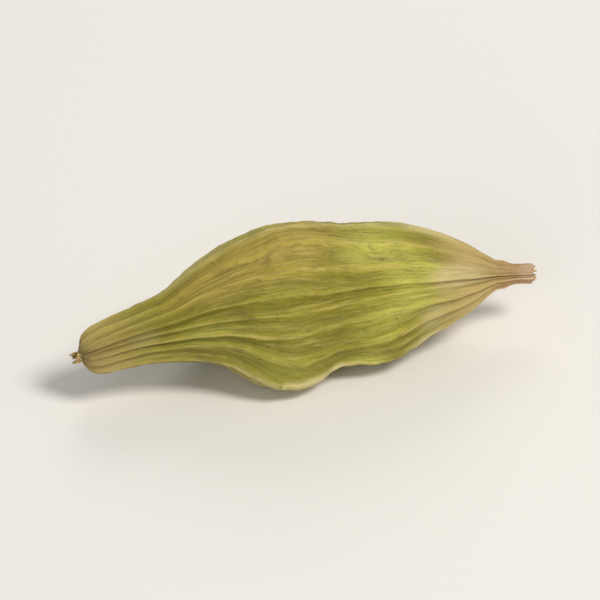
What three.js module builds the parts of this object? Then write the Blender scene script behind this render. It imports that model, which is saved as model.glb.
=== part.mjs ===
// A dried green cardamom pod, lying on one of its three faces.
// It grew as one piece, so it is one solid: the ribbed husk, with the cut stub of its stalk at one end
// and a narrowed neck with a withered tip at the other.
//
// Millimetres, +Z up. X runs along the pod, from the tip at -X to the cut end of the stalk at +X.
// The origin is the middle of the small flat spot that the pod rests on.
//
// A place on the pod is given by its share of the length, 0 at the tip and 1 at the cut end, and by an
// angle round the centreline, which is 0 at the side (+Y) and a quarter turn at the top (+Z).
import * as THREE from "three";

const TURN = 2 * Math.PI;

// Driving dimensions. The two widths are angles round the centreline.
const POD_LENGTH = 18.5;
const BELLY_RADIUS = 2.95;
const STALK_RADIUS = 0.38;
const RIB_HEIGHT = 0.22;
const KEEL_HEIGHT = 0.1;
const KEEL_WIDTH = 0.14;
const GROOVE_DEPTH = 0.09;
const GROOVE_WIDTH = 0.16;

// How it rests: the share of the length that lies over the origin, and the centreline's height there
const REST_SHARE = 0.49;
const REST_HEIGHT = 2.4;

// Mean radius along the husk, as [share of the length, share of the belly's radius]
const HUSK_STATIONS = [
  [0.0, 0.085],
  [0.006, 0.18],
  [0.018, 0.245],
  [0.04, 0.29],
  [0.08, 0.322],
  [0.14, 0.364],
  [0.21, 0.455],
  [0.28, 0.67],
  [0.34, 0.865],
  [0.4, 0.97],
  [0.47, 1.005],
  [0.55, 0.96],
  [0.63, 0.87],
  [0.71, 0.775],
  [0.79, 0.605],
  [0.86, 0.395],
  [0.915, 0.19],
];

// The stalk follows the husk, as [share of the length, share of the stalk's radius]
const STALK_STATIONS = [
  [0.935, 1.32],
  [0.955, 1.0],
  [0.98, 0.95],
  [0.993, 0.97],
  [1.0, 0.86],
];

// How far the centreline stands over its height at the belly: it arches at the neck and droops at the ends
const RISE_STATIONS = [
  [0.0, -0.48],
  [0.1, -0.16],
  [0.2, 0.02],
  [0.29, 0.21],
  [0.4, 0.08],
  [0.53, 0.03],
  [0.7, 0.13],
  [0.85, 0.0],
  [1.0, -0.3],
];

// Sideways bow of the centreline, and how far the three keels turn round it from end to end
const BOW = 0.45;
const TWIST = 0.3;

// The section is a rounded triangle: how far its keels stand out, as a share of the radius, along the pod
const CORNER_STATIONS = [
  [0.0, 0.16],
  [0.15, 0.13],
  [0.45, 0.125],
  [0.75, 0.12],
  [0.88, 0.07],
  [0.95, 0.02],
  [1.0, 0.03],
];
const CORNER_SHARPNESS = 0.22;
const TOP_KEEL = TURN / 4;
const KEELS = 3;

// Seeds press the husk out in soft swellings along each keel: where one swelling peaks, and its height
const SWELLING_SPACING = 0.235;
const SWELLING_WIDTH = 0.75;
const SWELLINGS = [
  { peak: 0.47, height: 0.03 },
  { peak: 0.416, height: 0.225 },
  { peak: 0.51, height: 0.08 },
];

// The husk has dried in to shallow dents: share and angle of the middle, length as a share, width, depth
const DENTS = [
  { share: 0.6, angle: 2.45, length: 0.09, width: 0.34, depth: 0.15 },
  { share: 0.36, angle: 2.75, length: 0.07, width: 0.3, depth: 0.1 },
  { share: 0.53, angle: 0.45, length: 0.12, width: 0.36, depth: 0.17 },
  { share: 0.25, angle: 0.9, length: 0.07, width: 0.4, depth: 0.08 },
  { share: 0.555, angle: 3.85, length: 0.055, width: 0.45, depth: 0.26 },
];

// Ribs: seven to a valve, so that every seventh lies on a keel
const RIBS = 21;
const RIBS_PER_VALVE = RIBS / KEELS;
const RIB_SCATTER = 0.4;
const RIB_WANDER = 0.18;

// A rib's sharpness, how much of its height lies under the smooth surface, how uneven it is along the pod,
// and how far the ribs are drawn flat where the belly is taut
const RIB_SHARPNESS = 2.4;
const RIB_SUNK = 0.35;
const RIB_UNEVENNESS = 0.25;
const TAUTNESS = 0.4;

// How quickly all this shaping dies down as the pod gets thinner
const RELIEF_FADE = 0.7;

// The rings that close an end, as [depth as a share of the length, share of the end's radius]
const END_RINGS = [
  [0, 1],
  [0.001, 0.72],
  [0.007, 0.36],
];

// Mesh
const STEPS_PER_RIB = 4;
const ROWS = 56;
const END_CROWDING = 0.7;

const HUSK_COLOUR = 0x9a9442;
const HUSK_ROUGHNESS = 0.62;

// A smooth curve through stations [x, y], level beyond its ends
function curveThrough(stations) {
  const last = stations.length - 1;
  const slope = (i) => {
    const before = stations[Math.max(i - 1, 0)];
    const after = stations[Math.min(i + 1, last)];
    return (after[1] - before[1]) / (after[0] - before[0]);
  };
  return (x) => {
    const inside = Math.min(Math.max(x, stations[0][0]), stations[last][0]);
    const after = stations.findIndex((station) => station[0] > inside);
    const i = after < 0 ? last - 1 : after - 1;
    const [x0, y0] = stations[i];
    const [x1, y1] = stations[i + 1];
    const width = x1 - x0;
    const u = (inside - x0) / width;
    const along = (3 - 2 * u) * u * u;
    const leaving = u * (1 - u) * (1 - u) * width * slope(i);
    const arriving = u * u * (u - 1) * width * slope(i + 1);
    return y0 + (y1 - y0) * along + leaving + arriving;
  };
}

// A number from 0 to 1 that looks random but is fixed by its rib and by what it is for
function scatter(rib, purpose) {
  const value = Math.sin((rib + 1) * 8.028 + purpose * 78.233) * 437.585;
  return value - Math.floor(value);
}

// How near an angle is to another, as a bump of height 1 that is `width` wide
function bump(angle, centre, width) {
  const gap = Math.atan2(Math.sin(angle - centre), Math.cos(angle - centre));
  return Math.exp(-(gap / width) * (gap / width));
}

const meanRadius = curveThrough([
  ...HUSK_STATIONS.map(([share, radius]) => [share, radius * BELLY_RADIUS]),
  ...STALK_STATIONS.map(([share, radius]) => [share, radius * STALK_RADIUS]),
]);
const cornerShare = curveThrough(CORNER_STATIONS);
const centreRise = curveThrough(RISE_STATIONS);

// Centreline

function sidewaysBow(share) {
  return BOW * Math.sin((share * TURN) / 2);
}

function centre(share) {
  return new THREE.Vector3(
    (share - REST_SHARE) * POD_LENGTH,
    sidewaysBow(share) - sidewaysBow(REST_SHARE),
    REST_HEIGHT + centreRise(share) - centreRise(REST_SHARE),
  );
}

function centreDirection(share) {
  const step = 0.01;
  return centre(share + step).sub(centre(share - step)).normalize();
}

// Husk

function keelAngle(share, keel) {
  return TOP_KEEL + (keel * TURN) / KEELS + TWIST * (share - REST_SHARE);
}

// How strongly the surface is shaped: 1 at the belly, less where the pod is thin and its ribs crowd together
function relief(share) {
  return Math.pow(Math.min(meanRadius(share) / BELLY_RADIUS, 1), RELIEF_FADE);
}

function swelling(share, angle) {
  let height = 0;
  SWELLINGS.forEach((row, keel) => {
    const wave = Math.cos(((share - row.peak) / SWELLING_SPACING) * TURN);
    height += row.height * wave * bump(angle, keelAngle(share, keel), SWELLING_WIDTH);
  });
  return height * Math.pow(relief(share), 3);
}

function dent(share, angle) {
  let depth = 0;
  DENTS.forEach((place) => {
    const along = (share - place.share) / place.length;
    depth += place.depth * Math.exp(-along * along) * bump(angle, place.angle, place.width);
  });
  return depth;
}

function smoothRadius(share, angle) {
  const turned = KEELS * (angle - keelAngle(share, 0));
  const corner = cornerShare(share);
  const section = 1 + corner * (Math.cos(turned) + CORNER_SHARPNESS * Math.cos(2 * turned));
  return meanRadius(share) * section + swelling(share, angle) - dent(share, angle);
}

// Each keel is a sharp line, and each face has a faint groove down its middle
function keelsAndGrooves(share, angle) {
  let height = 0;
  for (let keel = 0; keel < KEELS; keel += 1) {
    const ridge = keelAngle(share, keel);
    height += KEEL_HEIGHT * bump(angle, ridge, KEEL_WIDTH);
    height -= GROOVE_DEPTH * bump(angle, ridge + TURN / KEELS / 2, GROOVE_WIDTH);
  }
  return height * relief(share);
}

// Ribs

// Where a rib runs: every seventh stays on its keel, and the others wander between their neighbours
function ribAngle(share, rib) {
  const spacing = TURN / RIBS;
  const onKeel = rib % RIBS_PER_VALVE === 0;
  const offset = (scatter(rib, 1) - 0.5) * RIB_SCATTER;
  const wander = RIB_WANDER * Math.sin((share * (0.8 + scatter(rib, 2)) + scatter(rib, 3)) * TURN);
  return keelAngle(share, 0) + spacing * (onKeel ? rib : rib + offset + wander);
}

// How strongly the ribs are shaped: they are drawn flatter where the belly is taut
function ribRelief(share) {
  return relief(share) * (1 - TAUTNESS * Math.pow(relief(share), 3));
}

// How high a rib is, as a share of the full height. It rises and falls along the pod.
function ribStrength(share, rib) {
  const wave = Math.sin((share * (1.2 + scatter(rib, 5)) + scatter(rib, 6)) * TURN);
  return (0.5 + 0.5 * scatter(rib, 4)) * (1 + RIB_UNEVENNESS * wave);
}

// The place `part` of the way from one rib to the next, and how far the surface is from the centreline
function betweenRibs(share, rib, part) {
  const next = (rib + 1) % RIBS;
  const wholeTurn = next === 0 ? TURN : 0;
  const angle = ribAngle(share, rib) * (1 - part) + (ribAngle(share, next) + wholeTurn) * part;
  const strength = ribStrength(share, rib) * (1 - part) + ribStrength(share, next) * part;
  const crest = Math.pow((1 + Math.cos(part * TURN)) / 2, RIB_SHARPNESS);
  const ribHeight = RIB_HEIGHT * strength * (crest - RIB_SUNK) * ribRelief(share);
  const radius = smoothRadius(share, angle) + keelsAndGrooves(share, angle) + ribHeight;
  return { angle, radius };
}

// Surface

function surfacePoint(share, angle, radius) {
  const along = centreDirection(share);
  const side = new THREE.Vector3(-along.y, along.x, 0).normalize();
  const up = new THREE.Vector3().crossVectors(along, side);
  const point = centre(share)
    .addScaledVector(side, radius * Math.cos(angle))
    .addScaledVector(up, radius * Math.sin(angle));
  // The underside is pressed flat where the pod rests
  point.z = Math.max(point.z, 0);
  return point;
}

// Rows are closer together towards both ends
function rowShare(row) {
  const even = row / ROWS;
  const crowded = (1 - Math.cos((even * TURN) / 2)) / 2;
  return even * (1 - END_CROWDING) + crowded * END_CROWDING;
}

// Each end closes over rings that are drawn in, so the tip is dimpled and the stalk's cut end is hollowed
function closingRings(endShare, inward) {
  return END_RINGS.map(([depth, size]) => ({ share: endShare + inward * depth, size }));
}

function podRings() {
  const inner = Array.from({ length: ROWS - 1 }, (_, i) => ({ share: rowShare(i + 1), size: 1 }));
  return [...closingRings(0, 1).reverse(), ...inner, ...closingRings(1, -1)];
}

function podGeometry() {
  const columns = RIBS * STEPS_PER_RIB;
  const rings = podRings();

  const points = [];
  rings.forEach(({ share, size }) => {
    for (let column = 0; column < columns; column += 1) {
      const rib = Math.floor(column / STEPS_PER_RIB);
      const part = (column % STEPS_PER_RIB) / STEPS_PER_RIB;
      const { angle, radius } = betweenRibs(share, rib, part);
      points.push(surfacePoint(share, angle, radius * size));
    }
  });

  const faces = [];
  for (let ring = 0; ring < rings.length - 1; ring += 1) {
    for (let column = 0; column < columns; column += 1) {
      const here = ring * columns + column;
      const beside = ring * columns + ((column + 1) % columns);
      faces.push(here, beside, here + columns);
      faces.push(beside, beside + columns, here + columns);
    }
  }

  // The middle of each end
  const tipMiddle = points.push(surfacePoint(rings[0].share, 0, 0)) - 1;
  const cutMiddle = points.push(surfacePoint(rings[rings.length - 1].share, 0, 0)) - 1;
  const lastRing = (rings.length - 1) * columns;
  for (let column = 0; column < columns; column += 1) {
    const beside = (column + 1) % columns;
    faces.push(tipMiddle, beside, column);
    faces.push(cutMiddle, lastRing + column, lastRing + beside);
  }

  const geometry = new THREE.BufferGeometry().setFromPoints(points);
  geometry.setIndex(faces);
  geometry.computeVertexNormals();
  return geometry;
}

const pod = new THREE.Mesh(
  podGeometry(),
  new THREE.MeshStandardMaterial({ color: HUSK_COLOUR, roughness: HUSK_ROUGHNESS, metalness: 0 }),
);
pod.name = "pod";

const cardamomPod = new THREE.Group();
cardamomPod.add(pod);

export default cardamomPod;
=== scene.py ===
"""A dried green cardamom pod on a pale floor in soft studio light.

The pod's fine surface stands in for its plain solid. It is drawn from the same named sizes, with finer
ribs, veins, fibres and wrinkles on it. Sizes are in millimetres until a mesh is made, which is in metres.
A place on the pod is its share of the length, 0 at the tip and 1 at the cut end of the stalk, and an
angle round the centreline, which is 0 at the side (+Y) and a quarter turn at the top (+Z).
"""
import math

import bpy
import numpy as np
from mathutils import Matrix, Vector


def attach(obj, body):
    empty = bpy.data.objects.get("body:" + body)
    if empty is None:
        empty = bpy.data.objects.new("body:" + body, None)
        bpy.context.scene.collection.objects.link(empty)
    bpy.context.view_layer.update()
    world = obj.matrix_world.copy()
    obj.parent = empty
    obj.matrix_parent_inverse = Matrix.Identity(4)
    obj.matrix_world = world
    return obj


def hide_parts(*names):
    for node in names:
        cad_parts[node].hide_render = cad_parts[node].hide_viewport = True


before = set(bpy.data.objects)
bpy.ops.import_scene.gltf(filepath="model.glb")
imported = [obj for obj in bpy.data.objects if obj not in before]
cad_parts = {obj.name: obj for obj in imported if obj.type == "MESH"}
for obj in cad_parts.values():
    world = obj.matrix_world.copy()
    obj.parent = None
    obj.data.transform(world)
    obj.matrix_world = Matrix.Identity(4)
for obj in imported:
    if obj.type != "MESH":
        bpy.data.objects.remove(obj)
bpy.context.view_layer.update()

TURN = 2 * math.pi
MM = 0.001

# Sizes of the pod, in millimetres. The two widths are angles round the centreline.
POD_LENGTH = 18.5
BELLY_RADIUS = 2.95
STALK_RADIUS = 0.38
RIB_HEIGHT = 0.22
KEEL_HEIGHT = 0.1
KEEL_WIDTH = 0.14
GROOVE_DEPTH = 0.09
GROOVE_WIDTH = 0.16

# How it rests: the share of the length that lies over the origin, and the centreline's height there
REST_SHARE = 0.49
REST_HEIGHT = 2.4

# Mean radius along the husk, as (share of the length, share of the belly's radius)
HUSK_STATIONS = [
    (0.0, 0.085), (0.006, 0.18), (0.018, 0.245), (0.04, 0.29), (0.08, 0.322), (0.14, 0.364),
    (0.21, 0.455), (0.28, 0.67), (0.34, 0.865), (0.4, 0.97), (0.47, 1.005), (0.55, 0.96),
    (0.63, 0.87), (0.71, 0.775), (0.79, 0.605), (0.86, 0.395), (0.915, 0.19),
]
# The stalk follows the husk, as (share of the length, share of the stalk's radius)
STALK_STATIONS = [(0.935, 1.32), (0.955, 1.0), (0.98, 0.95), (0.993, 0.97), (1.0, 0.86)]

# How far the centreline stands over its height at the belly, its sideways bow, and the keels' twist
RISE_STATIONS = [
    (0.0, -0.48), (0.1, -0.16), (0.2, 0.02), (0.29, 0.21), (0.4, 0.08), (0.53, 0.03), (0.7, 0.13),
    (0.85, 0.0), (1.0, -0.3),
]
BOW = 0.45
TWIST = 0.3

# The section is a rounded triangle: how far its keels stand out, as a share of the radius
CORNER_STATIONS = [
    (0.0, 0.16), (0.15, 0.13), (0.45, 0.125), (0.75, 0.12), (0.88, 0.07), (0.95, 0.02), (1.0, 0.03),
]
CORNER_SHARPNESS = 0.22
TOP_KEEL = TURN / 4
KEELS = 3

# Seeds press the husk out in soft swellings along each keel: where one swelling peaks, and its height
SWELLING_SPACING = 0.235
SWELLING_WIDTH = 0.75
SWELLINGS = [(0.47, 0.03), (0.416, 0.225), (0.51, 0.08)]

# Shallow dents: share and angle of the middle, length as a share, width as an angle, depth
DENTS = [
    (0.6, 2.45, 0.09, 0.34, 0.15),
    (0.36, 2.75, 0.07, 0.3, 0.1),
    (0.53, 0.45, 0.12, 0.36, 0.17),
    (0.25, 0.9, 0.07, 0.4, 0.08),
    (0.555, 3.85, 0.055, 0.45, 0.26),
]

# Ribs: seven to a valve, so that every seventh lies on a keel
RIBS = 21
RIBS_PER_VALVE = RIBS // KEELS
RIB_SCATTER = 0.4
RIB_WANDER = 0.18
# How much a rib's height varies along the pod, how sharp its crest is, and how much of it is sunk
# under the smooth surface
RIB_UNEVENNESS = 0.25
RIB_SHARPNESS = 2.4
RIB_SUNK = 0.35
# How slowly the shaping fades where the pod gets thin, and how far a taut belly flattens the ribs
RELIEF_FADE = 0.7
TAUTNESS = 0.4

# Fine relief on and between the ribs, in millimetres
CREST_LINE_HEIGHT = 0.035
CREST_LINE_SHARPNESS = 14
VEINS = 58
VEIN_HEIGHT = 0.05
FIBRE_HEIGHT = 0.022
WRINKLE_HEIGHT = 0.028
PUCKER_HEIGHT = 0.07
PLEAT_DEPTH = 0.1
PLEAT_SHARPNESS = 4
# A vein's width and how far it wanders, both as shares of a turn
VEIN_WIDTH = 0.0042
VEIN_WANDER = 0.006
# How far the ribs waver sideways, as an angle at the belly
WAVER = 0.018
# Brings the soft noise to a range of about -1 to 1
NOISE_GAIN = 1.7
# How uneven the tip and the cut end of the stalk are
TIP_RAGGEDNESS = 0.07
CUT_RAGGEDNESS = 0.14
# How softly the husk flattens against the floor
PRESS_SOFTNESS = 0.05

# Mesh of the fine surface
STEPS_PER_RIB = 18
COLUMNS = RIBS * STEPS_PER_RIB
ROWS = 246
END_CROWDING = 0.6

# The rings that close each end in a hollow, as (inward share of the length, share of the end's radius)
TIP_RINGS = [(0.0, 0.9), (0.0015, 0.78), (0.005, 0.66), (0.0095, 0.5), (0.012, 0.3), (0.0125, 0.12)]
CUT_RINGS = [(0.0, 0.93), (0.0006, 0.84), (0.002, 0.7), (0.0032, 0.5), (0.0055, 0.28), (0.006, 0.12)]

# The straw colour follows the ribs' crests, and the pale edges follow the keels: partly the keels' own
# paler fibre, partly a painted sheen along the pod's outline
CREST_COLOUR_SHARPNESS = 5
PALE_AND_SHEEN_EDGE_WIDTH = 0.08
# The grain's texture is laid round a drum of this radius, in millimetres
GRAIN_DRUM = 3.0

# Places on the husk that differ in colour: share, angle, length as a share, width as an angle, strength
# Golden places: partly the husk's own golden patches, partly painted warm light on its upper side
GOLDEN_AND_WARM_LIT_PLACES = [
    (0.42, 1.75, 0.16, 0.5, 0.9), (0.24, 2.0, 0.1, 0.5, 0.5), (0.6, 0.9, 0.12, 0.4, 0.8),
    (0.35, -0.3, 0.1, 0.4, 0.8), (0.66, -1.3, 0.14, 0.4, 0.9), (0.3, -2.2, 0.1, 0.5, 0.6),
]
# Bright places: partly lighter green patches, partly a painted highlight on the lit front and painted
# light that lifts the shade of the lower flank and of a dent
BRIGHT_AND_HIGHLIT_PLACES = [
    (0.735, 2.55, 0.085, 0.5, 1.0), (0.64, 3.1, 0.09, 0.3, 0.5), (0.43, 3.5, 0.1, 0.35, 0.45),
    (0.64, 1.95, 0.09, 0.35, 0.8), (0.6, 3.75, 0.06, 0.3, 0.8), (0.25, 2.9, 0.1, 0.5, 0.55),
    (0.45, 0.5, 0.12, 0.5, 0.8), (0.72, 0.2, 0.1, 0.5, 0.7), (0.4, -1.8, 0.12, 0.5, 0.8),
]
# Pale edges: partly the keels' paler fibre, partly a painted sheen where the keels form the outline
PALE_AND_SHEEN_EDGES = [
    (0.8, 1.65, 0.16, 0.5, 0.6), (0.5, 1.55, 0.2, 0.5, 0.35), (0.25, 1.5, 0.16, 0.5, 0.3),
    (0.45, 3.65, 0.14, 0.5, 0.85), (0.76, 3.75, 0.12, 0.5, 0.7), (0.22, 3.6, 0.12, 0.5, 0.4),
    (0.38, -0.55, 0.2, 0.5, 0.55), (0.7, -0.45, 0.18, 0.5, 0.6),
]
WASHED_PLACES = [
    (0.45, 3.95, 0.13, 0.3, 0.8), (0.77, 1.25, 0.09, 0.35, 0.8), (0.76, 4.05, 0.08, 0.3, 0.7),
    (0.82, 2.55, 0.07, 0.35, 1.0), (0.76, 3.35, 0.05, 0.35, 0.5), (0.13, 2.7, 0.05, 0.4, 0.4),
    (0.25, 1.2, 0.1, 0.4, 0.6), (0.6, -0.9, 0.12, 0.4, 0.6), (0.35, -1.9, 0.08, 0.4, 0.5),
]
STAINED_PLACES = [
    (0.57, 2.3, 0.05, 0.2, 0.45), (0.3, 0.6, 0.06, 0.25, 0.8), (0.68, -0.2, 0.05, 0.25, 0.9),
    (0.5, -0.75, 0.07, 0.3, 0.5), (0.8, 1.4, 0.03, 0.2, 0.6), (0.2, 3.4, 0.05, 0.3, 0.5),
]

# Broken fibres in the cut end of the stalk: how many, where along the pod they start, and their mesh
STALK_FIBRES = 17
FIBRE_START = 0.992
STRAND_SIDES = 6
STRAND_STEPS = 9

# The withered flower at the tip: where it starts along the pod, its sizes in millimetres, and its mesh
FLOWER_START = 0.012
FLOWER_RADIUS = 0.2
FLOWER_LENGTH = 0.5
FLOWER_WALL = 0.03
FLOWER_COLUMNS = 96
FLOWER_ROWS = 14

# Heights of the materials' fine bumps, in millimetres: fibres, an even grain, and on the dry bits
FIBRE_BUMP = 0.06
GRAIN_BUMP = 0.035
DRY_BUMP = 0.01
# How many patches of colour the dry bits have to a millimetre
DRY_PATCHES = 9

# How far the floor reaches from the origin, in millimetres
FLOOR_REACH = 900

# Lights, as (name, place and size in metres, power in watts, tint), and the place, also in metres,
# that they shine on
LIGHTS = [
    ("key", (0.2, -0.16, 0.34), 0.18, 1.4, (1.0, 0.97, 0.91)),
    ("fill", (-0.3, -0.32, 0.18), 0.3, 0.55, (0.96, 0.98, 1.0)),
    ("rim", (0.1, 0.34, 0.22), 0.2, 0.45, (1.0, 0.98, 0.94)),
]
LIT_PLACE = Vector((0, 0, 0.003))
SKY_COLOUR = (0.97, 0.97, 1.0, 1.0)
SKY_STRENGTH = 0.32

# The camera looks down on the pod's side from a little towards its tip. Its distance and the width that
# fills the picture are in metres, its sensor in millimetres.
CAMERA_AZIMUTH = math.radians(-17)
CAMERA_ELEVATION = math.radians(35)
CAMERA_DISTANCE = 0.4
FRAME_WIDTH = 0.0235
SENSOR_WIDTH = 36


# Curves and waves

def curve_through(stations):
    """A smooth curve through stations (x, y), level beyond its ends."""
    x, y = np.array(stations, float).T
    last = len(x) - 1
    before = np.maximum(np.arange(last + 1) - 1, 0)
    after = np.minimum(np.arange(last + 1) + 1, last)
    slope = (y[after] - y[before]) / (x[after] - x[before])

    def height(at):
        inside = np.clip(at, x[0], x[-1])
        i = np.clip(np.searchsorted(x, inside, side="right") - 1, 0, last - 1)
        width = x[i + 1] - x[i]
        u = (inside - x[i]) / width
        along = (3 - 2 * u) * u * u
        leaving = u * (1 - u) ** 2 * width * slope[i]
        arriving = u * u * (u - 1) * width * slope[i + 1]
        return y[i] + (y[i + 1] - y[i]) * along + leaving + arriving

    return height


def scatter(rib, purpose):
    """A number from 0 to 1 that looks random but is fixed by its rib and by what it is for."""
    value = math.sin((rib + 1) * 8.028 + purpose * 78.233) * 437.585
    return value - math.floor(value)


def bump(angle, centre, width):
    """How near an angle is to another, as a bump of height 1 that is `width` wide."""
    gap = np.arctan2(np.sin(angle - centre), np.cos(angle - centre))
    return np.exp(-((gap / width) ** 2))


def fade(value, start, end):
    """0 at start and before, 1 at end and beyond, and smooth between them."""
    u = np.clip((value - start) / (end - start), 0, 1)
    return (3 - 2 * u) * u * u


def soft_noise(share, turns, cells_along, cells_around, seed):
    """Soft random values from about -1 to 1, seamless round the pod. turns is 0 to 1 round it."""
    leans = np.random.default_rng(seed).uniform(0, TURN, (cells_along + 2, cells_around))
    along = np.clip(share, 0, 1) * cells_along
    around = (turns % 1) * cells_around
    row = np.floor(along).astype(int)
    column = np.floor(around).astype(int)
    total = 0
    for down in (0, 1):
        for across in (0, 1):
            lean = leans[row + down, (column + across) % cells_around]
            ahead = along - row - down
            aside = around - column - across
            nearness = fade(1 - np.abs(ahead), 0, 1) * fade(1 - np.abs(aside), 0, 1)
            total = total + nearness * (np.cos(lean) * ahead + np.sin(lean) * aside)
    return NOISE_GAIN * total


mean_radius = curve_through(
    [(share, radius * BELLY_RADIUS) for share, radius in HUSK_STATIONS]
    + [(share, radius * STALK_RADIUS) for share, radius in STALK_STATIONS]
)
corner_share = curve_through(CORNER_STATIONS)
centre_rise = curve_through(RISE_STATIONS)


# Centreline

def sideways_bow(share):
    """How far the centreline bows to the side: not at all at the ends, most in the middle."""
    return BOW * np.sin(share * TURN / 2)


def centre(share):
    """Points of the centreline, in the shared frame."""
    x = (share - REST_SHARE) * POD_LENGTH
    y = sideways_bow(share) - sideways_bow(REST_SHARE)
    z = REST_HEIGHT + centre_rise(share) - centre_rise(REST_SHARE)
    return np.stack([x, y, z], axis=-1)


def unit(vectors):
    """The same directions with length 1."""
    return vectors / np.linalg.norm(vectors, axis=-1, keepdims=True)


def centre_axes(share):
    """The centreline's direction, and the side and up directions that angles are measured from."""
    step = 0.01
    along = unit(centre(share + step) - centre(share - step))
    level = np.zeros_like(along[..., 0])
    side = unit(np.stack([-along[..., 1], along[..., 0], level], axis=-1))
    return along, side, np.cross(along, side)


# The husk's main form

def keel_angle(share, keel):
    """The angle at which a keel runs. The keels twist slowly along the pod."""
    return TOP_KEEL + keel * TURN / KEELS + TWIST * (share - REST_SHARE)


def relief(share):
    """How strongly the surface is shaped: 1 at the belly, less where the pod is thin."""
    return np.minimum(mean_radius(share) / BELLY_RADIUS, 1) ** RELIEF_FADE


def rib_relief(share):
    """The same for the ribs, which are drawn flatter where the belly is taut."""
    return relief(share) * (1 - TAUTNESS * relief(share) ** 3)


def swelling(share, angle):
    """How far the seeds press the husk out along the keels, in millimetres."""
    height = 0
    for keel, (peak, size) in enumerate(SWELLINGS):
        wave = np.cos((share - peak) / SWELLING_SPACING * TURN)
        height = height + size * wave * bump(angle, keel_angle(share, keel), SWELLING_WIDTH)
    return height * relief(share) ** 3


def at_places(share, angle, places):
    """The sum of soft spots on the pod, each with its own strength."""
    total = 0
    for middle, place, length, width, strength in places:
        spot = np.exp(-(((share - middle) / length) ** 2)) * bump(angle, place, width)
        total = total + strength * spot
    return total


def smooth_radius(share, angle):
    """The radius of the rounded triangle with its swellings and dents, before any ribs."""
    turned = KEELS * (angle - keel_angle(share, 0))
    section = 1 + corner_share(share) * (np.cos(turned) + CORNER_SHARPNESS * np.cos(2 * turned))
    dented = at_places(share, angle, DENTS)
    return mean_radius(share) * section + swelling(share, angle) - dented


def keel_line(share, angle, width):
    """1 on the sharp line of each keel."""
    return sum(bump(angle, keel_angle(share, keel), width) for keel in range(KEELS))


def face_groove(share, angle):
    """1 in the faint groove down the middle of each face."""
    middles = [keel_angle(share, keel) + TURN / KEELS / 2 for keel in range(KEELS)]
    return sum(bump(angle, middle, GROOVE_WIDTH) for middle in middles)


# Ribs

def rib_angle(share, rib):
    """Where a rib runs. The ribs on the keels keep to them, and the others wander."""
    on_keel = rib % RIBS_PER_VALVE == 0
    offset = (scatter(rib, 1) - 0.5) * RIB_SCATTER
    wander = RIB_WANDER * np.sin((share * (0.8 + scatter(rib, 2)) + scatter(rib, 3)) * TURN)
    place = rib if on_keel else rib + offset + wander
    return keel_angle(share, 0) + TURN / RIBS * place


def rib_strength(share, rib):
    """How high a rib stands, as a share of RIB_HEIGHT. It rises and falls along the pod."""
    wave = np.sin((share * (1.2 + scatter(rib, 5)) + scatter(rib, 6)) * TURN)
    return (0.5 + 0.5 * scatter(rib, 4)) * (1 + RIB_UNEVENNESS * wave)


def follow_ribs(share):
    """The angle and rib strength at each column of points, which follows the ribs as they wander."""
    angles = []
    strengths = []
    for column in range(COLUMNS):
        rib, step = divmod(column, STEPS_PER_RIB)
        part = step / STEPS_PER_RIB
        following = (rib + 1) % RIBS
        whole_turn = TURN if following == 0 else 0
        end = rib_angle(share, following) + whole_turn
        angles.append(rib_angle(share, rib) * (1 - part) + end * part)
        strengths.append(rib_strength(share, rib) * (1 - part) + rib_strength(share, following) * part)
    return np.concatenate(angles, axis=1), np.concatenate(strengths, axis=1)


def crest_profile(turns, sharpness):
    """1 on a rib's crest and 0 in the valley beside it."""
    return ((1 + np.cos(turns * RIBS * TURN)) / 2) ** sharpness


# Fine relief

def veins(share, turns):
    """Fine veins that run between the ribs, and fade in and out along the pod."""
    height = 0
    for vein in range(VEINS):
        pace = 0.7 + scatter(vein, 12)
        wander = VEIN_WANDER * np.sin((share * pace + scatter(vein, 13)) * TURN)
        place = (vein + 0.7 * scatter(vein, 11)) / VEINS + wander
        gap = (turns - place + 0.5) % 1 - 0.5
        pulse = np.sin((share * (1 + 2 * scatter(vein, 14)) + scatter(vein, 15)) * TURN)
        presence = np.maximum(0.35 + 0.65 * pulse, 0)
        height = height + presence * np.exp(-((gap / VEIN_WIDTH) ** 2))
    return height


def fibres(share, turns):
    """Fine lines that run with the ribs."""
    return soft_noise(share, turns, 16, 126, 3) + 0.8 * soft_noise(share, turns, 30, 186, 4)


def wrinkles(share, turns):
    """Small ripples, mostly across the ribs, where the husk has shrunk."""
    bent_share = share + 0.01 * soft_noise(share, turns, 22, 17, 11)
    bent_turns = turns + 0.008 * soft_noise(share, turns, 19, 23, 12)
    ripple = soft_noise(bent_share, bent_turns, 58, 38, 5)
    ripple = ripple + 0.6 * soft_noise(bent_share, bent_turns, 97, 71, 6)
    where = fade(soft_noise(share, turns, 8, 9, 7), -0.5, 0.5)
    return ripple * (0.35 + 0.65 * where)


def puckers(share, turns):
    """Soft unevenness a millimetre or two wide."""
    return soft_noise(share, turns, 12, 9, 8) + 0.7 * soft_noise(share, turns, 27, 22, 9)


def pleats(share, turns):
    """Creases between the ribs where the husk is drawn in: along the neck and before the stalk."""
    valley = crest_profile(turns + 0.5 / RIBS, PLEAT_SHARPNESS)
    depth = 0.75 + 0.5 * soft_noise(share, turns, 9, 21, 13)
    return valley * depth * (1 - relief(share)) * fade(share, 0.0, 0.04)


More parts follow.
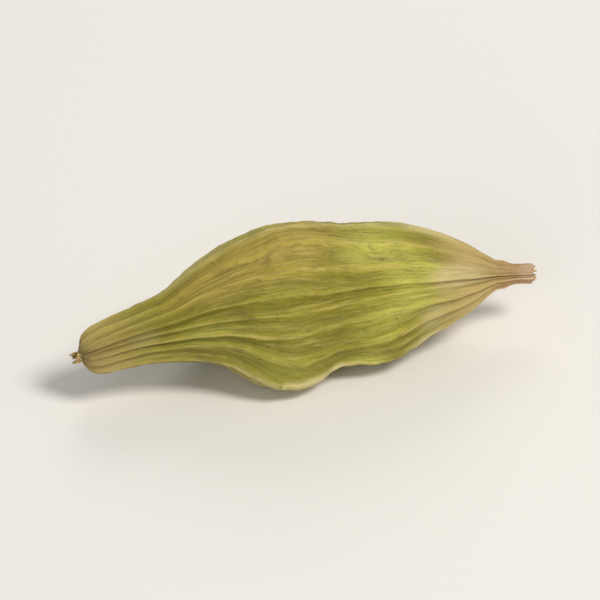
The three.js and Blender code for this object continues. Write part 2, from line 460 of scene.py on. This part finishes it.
def fine_relief(share, turns):
    """The height of all the fine relief together, in millimetres. The stalk has less of it."""
    on_husk = 1 - fade(share, 0.9, 0.95)
    uneven = 0.7 + 0.6 * soft_noise(share, turns, 48, 42, 10)
    crest_line = crest_profile(turns, CREST_LINE_SHARPNESS)
    height = CREST_LINE_HEIGHT * crest_line * uneven * relief(share)
    height = height + VEIN_HEIGHT * veins(share, turns) * relief(share)
    height = height + FIBRE_HEIGHT * fibres(share, turns) * (0.4 + 0.6 * relief(share))
    height = height + WRINKLE_HEIGHT * wrinkles(share, turns) * (0.2 + 0.8 * relief(share)) * on_husk
    height = height - PLEAT_DEPTH * pleats(share, turns) * on_husk
    return height + PUCKER_HEIGHT * puckers(share, turns) * relief(share) ** 2 * on_husk


def ragged_ends(share, turns):
    """How far points are pushed along the pod, so that the tip and the cut end are not straight."""
    # The noise changes round the pod, but not along it
    along = np.zeros_like(share)
    at_cut = soft_noise(along, turns, 1, 7, 31) + 0.8 * soft_noise(along, turns, 1, 23, 32)
    at_tip = soft_noise(along, turns, 1, 5, 33) + 0.9 * soft_noise(along, turns, 1, 13, 34)
    near_cut = fade(share, 0.98, 1)
    near_tip = fade(share, 0.02, 0)
    return CUT_RAGGEDNESS * at_cut * near_cut - TIP_RAGGEDNESS * at_tip * near_tip


# The fine surface

def row_shares():
    """Rows from end to end, closer together towards both ends."""
    even = np.arange(ROWS + 1) / ROWS
    crowded = (1 - np.cos(even * TURN / 2)) / 2
    return even * (1 - END_CROWDING) + crowded * END_CROWDING


def rings():
    """Share and size of every ring, from the middle of the tip to the middle of the cut end."""
    tip = [(inward, size) for inward, size in reversed(TIP_RINGS)]
    husk = [(share, 1) for share in row_shares()]
    cut = [(1 - inward, size) for inward, size in CUT_RINGS]
    share, size = np.array(tip + husk + cut).T
    return share[:, None], size[:, None]


def pressed(height):
    """The underside flattens softly against the floor, and never goes below it."""
    return (height + np.sqrt(height**2 + PRESS_SOFTNESS**2)) / 2


def pod_surface():
    """Points of the fine surface, and what the material needs to know about each of them."""
    share, size = rings()
    turns = np.arange(COLUMNS)[None, :] / COLUMNS
    angle, strength = follow_ribs(share)
    angle = angle + WAVER * soft_noise(share, turns, 15, 21, 2) * relief(share)
    crest = crest_profile(turns, RIB_SHARPNESS)
    keels = KEEL_HEIGHT * keel_line(share, angle, KEEL_WIDTH)
    keels = keels - GROOVE_DEPTH * face_groove(share, angle)
    radius = smooth_radius(share, angle) + keels * relief(share)
    radius = radius + RIB_HEIGHT * strength * (crest - RIB_SUNK) * rib_relief(share)
    radius = (radius + fine_relief(share, turns)) * size

    along, side, up = centre_axes(share)
    points = centre(share) + along * ragged_ends(share, turns)[..., None]
    points = points + side * (radius * np.cos(angle))[..., None]
    points = points + up * (radius * np.sin(angle))[..., None]
    points[..., 2] = pressed(points[..., 2])

    everywhere = np.ones_like(angle)
    told = {
        "share": share * everywhere,
        "crest": crest_profile(turns, CREST_COLOUR_SHARPNESS) * strength,
        "pleat": pleats(share, turns),
        # Pale keel edges, partly a painted sheen
        "pale_and_sheen_edge": keel_line(share, angle, PALE_AND_SHEEN_EDGE_WIDTH) * at_places(share, angle, PALE_AND_SHEEN_EDGES),
        "vein": np.minimum(veins(share, turns), 1),
        # Golden places, partly painted warm light on the upper side
        "golden_and_warm_lit": at_places(share, angle, GOLDEN_AND_WARM_LIT_PLACES),
        # Bright places, partly a painted highlight and painted light over shade
        "bright_and_highlit": at_places(share, angle, BRIGHT_AND_HIGHLIT_PLACES),
        "washed": at_places(share, angle, WASHED_PLACES),
        "stained": at_places(share, angle, STAINED_PLACES),
        "inside": (1 - size) * everywhere,
    }
    # Places for the grain, which runs with the ribs: millimetres along, then round a drum
    grain = np.stack([
        share * POD_LENGTH * everywhere,
        GRAIN_DRUM * np.cos(turns * TURN) * everywhere,
        GRAIN_DRUM * np.sin(turns * TURN) * everywhere,
    ], axis=-1)
    return points, told, grain


def grid_faces(rows, columns):
    """Quads over a grid of points whose last column meets its first."""
    row, column = np.meshgrid(np.arange(rows - 1), np.arange(columns), indexing="ij")
    here = row * columns + column
    beside = row * columns + (column + 1) % columns
    return np.stack([here, beside, beside + columns, here + columns], axis=-1).reshape(-1, 4).tolist()


def end_faces(rows, columns):
    """Triangles from the first and last ring to the two middle points that follow the grid's points."""
    tip_middle = rows * columns
    cut_middle = tip_middle + 1
    last = (rows - 1) * columns
    faces = []
    for column in range(columns):
        beside = (column + 1) % columns
        faces.append([tip_middle, beside, column])
        faces.append([cut_middle, last + column, last + beside])
    return faces


def with_middles(values):
    """A grid's values as one list, then the means of its first and its last ring."""
    grid = values.reshape(values.shape[0], values.shape[1], -1)
    flat = grid.reshape(-1, grid.shape[-1])
    return np.concatenate([flat, [grid[0].mean(axis=0)], [grid[-1].mean(axis=0)]])


def add_mesh(name, points, faces, material):
    """A smooth mesh object from points in millimetres."""
    mesh = bpy.data.meshes.new(name)
    mesh.from_pydata((np.asarray(points) * MM).tolist(), [], faces)
    mesh.polygons.foreach_set("use_smooth", np.ones(len(mesh.polygons), bool))
    mesh.materials.append(material)
    piece = bpy.data.objects.new(name, mesh)
    bpy.context.scene.collection.objects.link(piece)
    return piece


def keep_values(piece, name, values):
    """Stores a number for each point, for the material to read."""
    layer = piece.data.attributes.new(name, "FLOAT", "POINT")
    layer.data.foreach_set("value", np.asarray(values, np.float32).ravel())


def keep_vectors(piece, name, vectors):
    """Stores a vector for each point, for the material to read."""
    layer = piece.data.attributes.new(name, "FLOAT_VECTOR", "POINT")
    layer.data.foreach_set("vector", np.asarray(vectors, np.float32).ravel())


def make_husk(material):
    """The husk as one closed mesh that carries what its material reads."""
    points, told, grain = pod_surface()
    rows, columns = points.shape[:2]
    faces = grid_faces(rows, columns) + end_faces(rows, columns)
    piece = add_mesh("pod_husk", with_middles(points), faces, material)
    for name, values in told.items():
        keep_values(piece, name, with_middles(values))
    keep_vectors(piece, "grain", with_middles(grain))
    return piece


# Broken fibres at the cut end of the stalk, and the withered flower at the tip

def strand(path, facing, width):
    """Points and faces of a round thread along a path. `facing` fixes how it is turned."""
    along = unit(np.gradient(path, axis=0))
    across = unit(np.cross(along, facing))
    up = np.cross(across, along)
    turn = np.arange(STRAND_SIDES)[None, :, None] / STRAND_SIDES * TURN
    sideways = np.cos(turn) * (across * width[:, None])[:, None]
    upwards = np.sin(turn) * (up * width[:, None])[:, None]
    points = path[:, None] + (sideways + upwards)
    faces = grid_faces(STRAND_STEPS, STRAND_SIDES) + end_faces(STRAND_STEPS, STRAND_SIDES)
    return with_middles(points), faces


def fibre_path(angle, reach, length, spread, sideways):
    """A path out of the cut end of the stalk. It follows the centreline and bends outwards."""
    start = np.array([FIBRE_START])
    along, side, up = (axis[0] for axis in centre_axes(start))
    outward = side * math.cos(angle) + up * math.sin(angle)
    part = np.linspace(0, 1, STRAND_STEPS)[:, None]
    bend = (outward * spread + np.cross(along, outward) * sideways) * part**2
    path = centre(start) + outward * reach + (along * part + bend) * length
    return path, outward, part[:, 0]


def stalk_fibre(number):
    """One broken fibre in the cut end of the stalk."""
    angle = (number + scatter(number, 21)) / STALK_FIBRES * TURN
    reach = STALK_RADIUS * (0.35 + 0.55 * scatter(number, 22))
    length = 0.1 + 0.2 * scatter(number, 23) ** 2
    spread = 0.5 * (scatter(number, 24) - 0.3)
    sideways = 0.5 * (scatter(number, 25) - 0.5)
    path, outward, part = fibre_path(angle, reach, length, spread, sideways)
    width = (0.04 + 0.03 * scatter(number, 26)) * (1 - 0.5 * part**4)
    return strand(path, outward, width)


def withered_flower():
    """A short crumpled tube with a torn rim: out along its inside, over the rim and back outside."""
    turns = np.arange(FLOWER_COLUMNS)[None, :] / FLOWER_COLUMNS
    out = np.linspace(0, 1, FLOWER_ROWS)
    reach = np.concatenate([out, out[::-1]])[:, None]
    inside = np.repeat([1, 0], FLOWER_ROWS)[:, None]

    at_rim = np.zeros_like(reach)
    torn = 1 + 0.45 * soft_noise(at_rim, turns, 1, 5, 41) + 0.35 * soft_noise(at_rim, turns, 1, 17, 42)
    folds = 0.5 * soft_noise(reach, turns, 2, 6, 43) + 0.25 * soft_noise(reach, turns, 3, 19, 44)
    squeeze = 0.2 * np.cos(2 * turns * TURN + 1) * reach
    radius = FLOWER_RADIUS * (1 + 0.15 * reach + folds * reach + squeeze) - FLOWER_WALL * inside

    start = np.array([FLOWER_START])
    along, side, up = (axis[0] for axis in centre_axes(start))
    round_it = side * np.cos(turns * TURN)[..., None] + up * np.sin(turns * TURN)[..., None]
    stretch = along * (FLOWER_LENGTH * torn * reach)[..., None]
    points = centre(start) - stretch + round_it * radius[..., None]
    faces = grid_faces(2 * FLOWER_ROWS, FLOWER_COLUMNS) + end_faces(2 * FLOWER_ROWS, FLOWER_COLUMNS)
    return with_middles(points), faces


def joined(parts):
    """Several lots of points and faces as one."""
    points = []
    faces = []
    for more_points, more_faces in parts:
        faces += [[corner + len(points) for corner in face] for face in more_faces]
        points += more_points.tolist()
    return points, faces


# Materials

def colour(red, green, blue):
    """A screen colour, 0 to 255, as the linear colour that a shader takes."""
    def linear(value):
        value /= 255
        return value / 12.92 if value <= 0.04045 else ((value + 0.055) / 1.055) ** 2.4
    return linear(red), linear(green), linear(blue), 1.0


# Colours of the husk, its ends and the floor
DEEP_GREEN = colour(98, 92, 24)
GREEN = colour(138, 129, 25)
FRESH_GREEN = colour(157, 152, 33)
# BRIGHT_GREEN is also a painted highlight and painted light over shade
BRIGHT_GREEN = colour(204, 200, 88)
# GOLDEN is also used, in part, as painted warm light on the upper side
GOLDEN = colour(186, 160, 68)
STRAW = colour(194, 176, 92)
PALE_STRAW = colour(218, 202, 148)
TAN = colour(197, 171, 110)
BROWN = colour(116, 82, 40)
DARK_BROWN = colour(72, 50, 26)
STALK_TAN = colour(202, 162, 114)
STALK_PALE = colour(226, 194, 160)
FLOOR_COLOUR = colour(228, 225, 219)

# Layers over the husk's colour. Each has the settings that Graph.noise takes, the two values of the
# noise between which it sets in, its strength and its colour.
STREAKS = [
    ((0.06, 11.0, 4.0, 0.6), 0.5, 0.66, 0.45, DEEP_GREEN),
    ((0.07, 14.0, 3.0, 0.6), 0.54, 0.68, 0.45, STRAW),
    ((0.7, 3.2, 6.0, 0.7), 0.5, 0.68, 0.3, DEEP_GREEN),
    ((0.45, 1.3, 8.0, 0.7), 0.58, 0.7, 0.5, BROWN),
    ((0.6, 6.5, 2.0, 0.5), 0.7, 0.76, 0.7, DARK_BROWN),
]

# Where the nodes that mix colours keep their two colours and their result
FIRST_COLOUR = 6
SECOND_COLOUR = 7
MIXED_COLOUR = 2


class Graph:
    """Short calls for building one material's nodes. Most give back an output socket."""

    def __init__(self, name):
        self.material = bpy.data.materials.new(name)
        self.material.use_nodes = True
        self.tree = self.material.node_tree
        self.shader = self.tree.nodes["Principled BSDF"]

    def node(self, kind, **settings):
        """A new node with its settings."""
        made = self.tree.nodes.new(kind)
        for name, value in settings.items():
            setattr(made, name, value)
        return made

    def feed(self, socket, value):
        """Links an output to a socket, or sets a plain number or colour on it."""
        if isinstance(value, bpy.types.NodeSocket):
            self.tree.links.new(value, socket)
        else:
            socket.default_value = value

    def kept(self, name):
        """A number that the mesh keeps for each point."""
        return self.node("ShaderNodeAttribute", attribute_name=name).outputs["Fac"]

    def grain(self, along):
        """The places at which the grain's texture is read."""
        place = self.node("ShaderNodeAttribute", attribute_name="grain").outputs["Vector"]
        mapping = self.node("ShaderNodeMapping")
        self.feed(mapping.inputs["Vector"], place)
        mapping.inputs["Scale"].default_value = (along, 1, 1)
        return mapping.outputs["Vector"]

    def noise(self, along, scale, detail=2.0, roughness=0.5):
        """Noise from 0 to 1 over the grain, drawn out along the fibres where `along` is small."""
        made = self.node("ShaderNodeTexNoise")
        self.feed(made.inputs["Vector"], self.grain(along))
        made.inputs["Scale"].default_value = scale
        made.inputs["Detail"].default_value = detail
        made.inputs["Roughness"].default_value = roughness
        return made.outputs["Fac"]

    def maths(self, operation, first, second=0.0):
        """The result of one operation on two values."""
        made = self.node("ShaderNodeMath", operation=operation)
        self.feed(made.inputs[0], first)
        self.feed(made.inputs[1], second)
        return made.outputs["Value"]

    def times(self, first, second):
        """The product of two values."""
        return self.maths("MULTIPLY", first, second)

    def between(self, value, start, end, low=0.0, high=1.0):
        """Goes smoothly from low to high as value goes from start to end."""
        made = self.node("ShaderNodeMapRange", interpolation_type="SMOOTHSTEP")
        self.feed(made.inputs["Value"], value)
        made.inputs["From Min"].default_value = start
        made.inputs["From Max"].default_value = end
        made.inputs["To Min"].default_value = low
        made.inputs["To Max"].default_value = high
        return made.outputs["Result"]

    def mix(self, factor, first, second):
        """The first colour where the factor is 0, the second where it is 1."""
        made = self.node("ShaderNodeMix", data_type="RGBA")
        self.feed(made.inputs["Factor"], factor)
        self.feed(made.inputs[FIRST_COLOUR], first)
        self.feed(made.inputs[SECOND_COLOUR], second)
        return made.outputs[MIXED_COLOUR]

    def bump(self, height, distance, normal=None):
        """A bumpy normal. `distance` is in millimetres, and `normal` is a bump that it adds to."""
        made = self.node("ShaderNodeBump")
        self.feed(made.inputs["Height"], height)
        made.inputs["Distance"].default_value = distance * MM
        if normal is not None:
            self.feed(made.inputs["Normal"], normal)
        return made.outputs["Normal"]


def green_of_the_husk(graph):
    """Olive green in soft clouds, with golden places that are partly painted warm light on the upper
    side, bright places that are partly a painted highlight and painted light over shade, and stained
    places.
    """
    clouds = graph.noise(0.55, 0.5, 4.0, 0.55)
    tone = graph.mix(graph.between(clouds, 0.36, 0.66), GREEN, FRESH_GREEN)
    # Golden places: partly painted warm light on the upper side
    tone = graph.mix(graph.between(graph.kept("golden_and_warm_lit"), 0.1, 0.9, 0.0, 0.75), tone, GOLDEN)
    # Bright places: partly a painted highlight and painted light over shade
    tone = graph.mix(graph.between(graph.kept("bright_and_highlit"), 0.15, 0.95, 0.0, 0.9), tone, BRIGHT_GREEN)
    stain = graph.times(graph.kept("stained"), graph.between(graph.noise(0.5, 1.6, 5.0), 0.35, 0.65))
    return graph.mix(graph.between(stain, 0.0, 0.7, 0.0, 0.7), tone, BROWN)


def ribs_and_veins(graph, tone, streaks):
    """Valleys and the neck's pleats are deeper green, partly the husk's own colour and partly painted
    shade in these hollows; ribs and veins are straw, and the keels are the palest, partly from their own
    paler fibre and partly from a painted sheen.
    """
    crest = graph.kept("crest")
    # Deeper green in the valleys and pleats: partly the husk's greener skin, partly painted shade in the
    # hollows
    tone = graph.mix(graph.between(crest, 0.12, 0.0, 0.0, 0.26), tone, DEEP_GREEN)
    tone = graph.mix(graph.between(graph.kept("pleat"), 0.15, 0.6, 0.0, 0.35), tone, DEEP_GREEN)
    straw = graph.times(graph.between(crest, 0.25, 0.9), graph.between(streaks, 0.35, 0.65, 0.15, 0.7))
    tone = graph.mix(straw, tone, STRAW)
    vein = graph.times(graph.kept("vein"), graph.between(streaks, 0.4, 0.65, 0.1, 0.45))
    tone = graph.mix(vein, tone, STRAW)
    # The keels' pale edges: partly their own paler fibre, partly a painted sheen along the outline
    rim = graph.between(graph.kept("pale_and_sheen_edge"), 0.15, 0.8)
    rim = graph.times(rim, graph.between(streaks, 0.3, 0.6, 0.35, 0.9))
    return graph.mix(rim, tone, PALE_STRAW)


def ends_of_the_pod(graph, tone, streaks):
    """Both ends turn tan, with ragged edges along the fibres, and some places are washed out.

    The stalk is pale and the tip brown.
    """
    ragged = graph.times(graph.maths("SUBTRACT", streaks, 0.5), 0.14)
    place = graph.maths("ADD", graph.kept("share"), ragged)
    tone = graph.mix(graph.between(place, 0.73, 0.86, 0.0, 0.85), tone, TAN)
    tone = graph.mix(graph.between(place, 0.2, 0.0, 0.0, 0.62), tone, TAN)
    tone = graph.mix(graph.between(graph.kept("washed"), 0.1, 0.8, 0.0, 0.6), tone, PALE_STRAW)
    tone = graph.mix(graph.between(place, 0.9, 0.95, 0.0, 0.8), tone, STALK_TAN)
    tone = graph.mix(graph.between(place, 0.95, 0.99, 0.0, 0.85), tone, STALK_PALE)
    tone = graph.mix(graph.between(place, 0.04, 0.0, 0.0, 0.15), tone, BROWN)
    return graph.mix(graph.between(graph.kept("inside"), 0.3, 0.8, 0.0, 0.6), tone, BROWN)


def streaks_and_specks(graph, tone):
    """Dark and pale fibres, mottling, scuffs and small dark specks, one layer of noise each."""
    for texture, start, end, strength, layer_colour in STREAKS:
        amount = graph.between(graph.noise(*texture), start, end, 0.0, strength)
        tone = graph.mix(amount, tone, layer_colour)
    return tone


def husk_material():
    """The dry, satin husk: its colour, one layer on another, and then its fine bumps."""
    graph = Graph("husk")
    streaks = graph.noise(0.12, 5.0, 4.0, 0.6)
    tone = green_of_the_husk(graph)
    tone = ribs_and_veins(graph, tone, streaks)
    tone = streaks_and_specks(graph, tone)
    tone = ends_of_the_pod(graph, tone, streaks)
    graph.feed(graph.shader.inputs["Base Color"], tone)
    graph.feed(graph.shader.inputs["Roughness"], graph.between(streaks, 0.3, 0.7, 0.42, 0.62))
    graph.shader.inputs["Specular IOR Level"].default_value = 0.4
    normal = graph.bump(graph.noise(0.1, 13.0, 5.0, 0.65), FIBRE_BUMP)
    normal = graph.bump(graph.noise(0.8, 9.0, 6.0, 0.65), GRAIN_BUMP, normal)
    graph.feed(graph.shader.inputs["Normal"], normal)
    return graph.material


def dry_material(name, light, dark):
    """Dry fibre or paper, a little darker in patches."""
    graph = Graph(name)
    place = graph.node("ShaderNodeTexCoord").outputs["Object"]
    noise = graph.node("ShaderNodeTexNoise")
    graph.feed(noise.inputs["Vector"], place)
    noise.inputs["Scale"].default_value = DRY_PATCHES / MM
    tone = graph.mix(graph.between(noise.outputs["Fac"], 0.35, 0.65), light, dark)
    graph.feed(graph.shader.inputs["Base Color"], tone)
    graph.shader.inputs["Roughness"].default_value = 0.7
    graph.feed(graph.shader.inputs["Normal"], graph.bump(noise.outputs["Fac"], DRY_BUMP))
    return graph.material


# Floor, lights and camera

def make_floor():
    """A plain pale floor under the pod."""
    far = FLOOR_REACH
    corners = [(-far, -far, 0), (far, -far, 0), (far, far, 0), (-far, far, 0)]
    graph = Graph("floor")
    graph.shader.inputs["Base Color"].default_value = FLOOR_COLOUR
    graph.shader.inputs["Roughness"].default_value = 0.9
    add_mesh("floor", corners, [(0, 1, 2, 3)], graph.material)


def aim(thing, target):
    """Turns a light or a camera towards a place."""
    thing.rotation_euler = (target - thing.location).to_track_quat("-Z", "Y").to_euler()


def add_light(name, place, size, power, tint):
    """A round soft light that shines on the pod."""
    light = bpy.data.lights.new(name, "AREA")
    light.shape = "DISK"
    light.size = size
    light.energy = power
    light.color = tint
    lamp = bpy.data.objects.new(name, light)
    lamp.location = place
    bpy.context.scene.collection.objects.link(lamp)
    aim(lamp, LIT_PLACE)


def make_lights():
    """The three lights and a dim, even sky. Colours are shown as they are, without a film look."""
    for light in LIGHTS:
        add_light(*light)
    world = bpy.data.worlds.new("studio")
    world.use_nodes = True
    background = world.node_tree.nodes["Background"]
    background.inputs["Color"].default_value = SKY_COLOUR
    background.inputs["Strength"].default_value = SKY_STRENGTH
    bpy.context.scene.world = world
    bpy.context.scene.view_settings.view_transform = "Standard"


def make_camera():
    """A long lens at the photograph's viewing angle."""
    target = Vector((0, 0, REST_HEIGHT * MM))
    back = Vector((
        math.sin(CAMERA_AZIMUTH) * math.cos(CAMERA_ELEVATION),
        -math.cos(CAMERA_AZIMUTH) * math.cos(CAMERA_ELEVATION),
        math.sin(CAMERA_ELEVATION),
    ))
    data = bpy.data.cameras.new("camera")
    data.sensor_width = SENSOR_WIDTH
    data.lens = SENSOR_WIDTH * CAMERA_DISTANCE / FRAME_WIDTH
    data.clip_start = 0.01
    data.clip_end = 10
    camera = bpy.data.objects.new("camera", data)
    camera.location = target + back * CAMERA_DISTANCE
    bpy.context.scene.collection.objects.link(camera)
    aim(camera, target)
    bpy.context.scene.camera = camera


# The pod's pieces

def make_stalk_fibres(material):
    """All the broken fibres as one piece."""
    points, faces = joined([stalk_fibre(number) for number in range(STALK_FIBRES)])
    return add_mesh("stalk_fibres", points, faces, material)


def make_withered_flower(material):
    """The withered flower as a piece of its own."""
    points, faces = withered_flower()
    return add_mesh("withered_flower", points, faces, material)


def add_piece(piece):
    """The piece belongs to the pod's one body and stands in for its solid."""
    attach(piece, "root")
    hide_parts("pod")


make_camera()
make_lights()
make_floor()
add_piece(make_husk(husk_material()))
add_piece(make_stalk_fibres(dry_material("fibre", PALE_STRAW, STALK_TAN)))
add_piece(make_withered_flower(dry_material("withered_flower", TAN, BROWN)))
